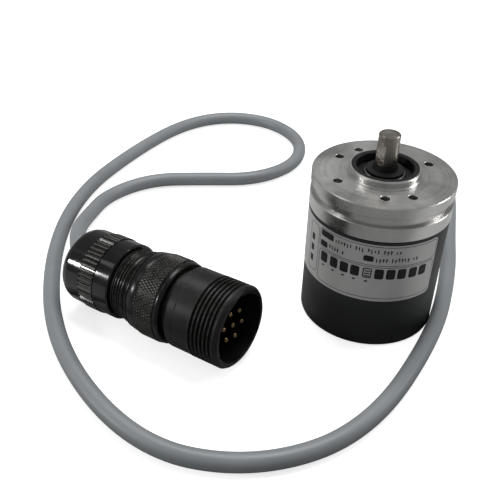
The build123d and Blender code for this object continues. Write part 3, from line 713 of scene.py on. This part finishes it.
def anodised(name, roughness, ring_depth, gloss, crest=None):
    """Black film, worn at edges and, where a crest radius is given, paler on the knurl's crests,
    partly with wear and partly as a painted highlight.
    """
    finish, shader = new_finish(name, (0.005, 0.0048, 0.0045), roughness)
    shader.inputs["Specular IOR Level"].default_value = gloss
    tree = finish.node_tree
    where = along_connector(tree)
    found = marks(tree, 130.0, 5000.0, where)
    rings = turning(tree, 5200.0, where)
    worn = add(tree, "ShaderNodeGroup", node_tree=rubbed)
    tree.links.new(where, worn.inputs["Place"])
    film = vary(tree, None, "", found["Patches"], FILM_DARK, FILM_PALE)
    mix = add(tree, "ShaderNodeMix", data_type="RGBA")
    edge_wear_and_crest_highlight = worn.outputs["Mask"]
    if crest is not None:
        worn_and_lit_crests = add(tree, "ShaderNodeGroup", node_tree=crests)
        tree.links.new(where, worn_and_lit_crests.inputs["Place"])
        tree.links.new(found["Patches"], worn_and_lit_crests.inputs["Patches"])
        worn_and_lit_crests.inputs["Crest radius"].default_value = crest * MM
        edge_wear_and_crest_highlight = add(tree, "ShaderNodeMath", {0: worn_and_lit_crests.outputs["Mask"], 1: edge_wear_and_crest_highlight},
                    operation="MAXIMUM").outputs["Value"]
    # The pale metal colour shows at worn edges; on the knurl's crests it is also a painted
    # highlight.
    tree.links.new(edge_wear_and_crest_highlight, mix.inputs["Factor"])
    tree.links.new(film, mix.inputs[6])
    mix.inputs[7].default_value = (0.10, 0.095, 0.085, 1)
    tree.links.new(mix.outputs[2], shader.inputs["Base Color"])
    vary(tree, shader, "Roughness", found["Patches"], roughness - 0.03, roughness + 0.05)
    relief(tree, shader, rings["Height"], ring_depth, 0.5)
    return finish


matt_black = anodised("matt_black_anodised", 0.40, 0.010, 0.30)
satin_black = anodised("satin_black_anodised", 0.24, 0.004, 0.26)
NUT_CREST_R = 11.64
# The nut's knurl crests get a painted highlight as well as wear.
gloss_black = anodised("gloss_black_anodised", 0.11, 0.001, 0.45, crest=NUT_CREST_R)
dress(matt_black, "connector_shell")
dress(satin_black, "backshell")
dress(gloss_black, "clamp_nut")

gilt, shader = new_finish("gilt_contacts", (0.60, 0.43, 0.16), 0.25, 1.0)
tree = gilt.node_tree
found = marks(tree, 600.0, 6000.0)
vary(tree, shader, "Base Color", found["Patches"], (0.16, 0.11, 0.05), (0.30, 0.21, 0.10))
dress(gilt, "connector_pins")

# ---- union ring ------------------------------------------------------------------------------
# Turned and black anodised like the shell, with a diamond knurl rolled in its raised band. It
# turns on the backshell's tube and draws the shell up against it.
RING_PROFILE = (
    (9.48, 19.1), (11.3, 19.1), (11.6, 19.2), (11.8, 19.45), (11.95, 19.8), (12.0, 20.1),
    (11.95, 20.5), (11.88, 20.8), (12.2, 21.0),
)
RING_REAR = (
    (12.2, 27.4), (11.85, 27.55), (11.9, 27.8), (11.95, 28.1), (11.92, 29.0), (11.8, 29.8),
    (11.65, 30.15), (11.4, 30.3), (9.48, 30.3),
)
KNURL_R = 12.34
KNURL_DEPTH = 0.26
KNURL_COUNT = 80
KNURL_PITCH = 1.6
GROOVE_HALF = 0.40
BAND_R = 12.2
STEPS_EACH = 8
BAND_START, BAND_WIDTH = 21.0, 6.4
knurl_rows = int(BAND_WIDTH / KNURL_PITCH * STEPS_EACH)
columns = KNURL_COUNT * STEPS_EACH


def knurl_radius(turn, back):
    """Height of the rolled pattern: two crossing sets of V grooves, flat between."""
    phase = turn / math.tau * KNURL_COUNT
    row = back / KNURL_PITCH
    depth = 0.0
    for way in (1, -1):
        cell = (phase + way * row) % 1.0
        depth = max(depth, 1 - min(cell, 1 - cell) / GROOVE_HALF)
    return KNURL_R - KNURL_DEPTH * min(1.0, depth)


rows = [[(r, back) for _ in range(columns)] for r, back in RING_PROFILE]
for j in range(knurl_rows + 1):
    back = BAND_START + BAND_WIDTH * j / knurl_rows
    fade = min(1.0, min(j, knurl_rows - j) / 2)
    rows.append([
        (BAND_R + (knurl_radius(math.tau * k / columns, back) - BAND_R) * fade, back)
        for k in range(columns)
    ])
rows += [[(r, back) for _ in range(columns)] for r, back in RING_REAR]
ring_mesh = bmesh.new()
grid = [
    [
        ring_mesh.verts.new(connector_place @ (Vector((
            r * math.cos(math.tau * k / columns), r * math.sin(math.tau * k / columns), -back
        )) * MM))
        for k, (r, back) in enumerate(row)
    ]
    for row in rows
]
for row, ahead in zip(grid, grid[1:] + grid[:1]):
    for k in range(columns):
        j = (k + 1) % columns
        ring_mesh.faces.new((row[k], ahead[k], ahead[j], row[j]))
bmesh.ops.remove_doubles(ring_mesh, verts=ring_mesh.verts, dist=1e-7)
bmesh.ops.recalc_face_normals(ring_mesh, faces=ring_mesh.faces)
ring_data = bpy.data.meshes.new("union_ring_knurled")
ring_mesh.to_mesh(ring_data)
ring_mesh.free()
# The ring's knurl crests get a painted highlight as well as wear.
ring_data.materials.append(
    anodised("knurled_black_anodised", 0.24, 0.002, 0.3, crest=KNURL_R)
)
ring_data.polygons.foreach_set("use_smooth", [True] * len(ring_data.polygons))
ring_data.set_sharp_from_angle(angle=math.radians(32))
knurled_ring = piece("union_ring_knurled", ring_data, "union_ring")
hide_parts("union_ring")
bpy.context.view_layer.update()
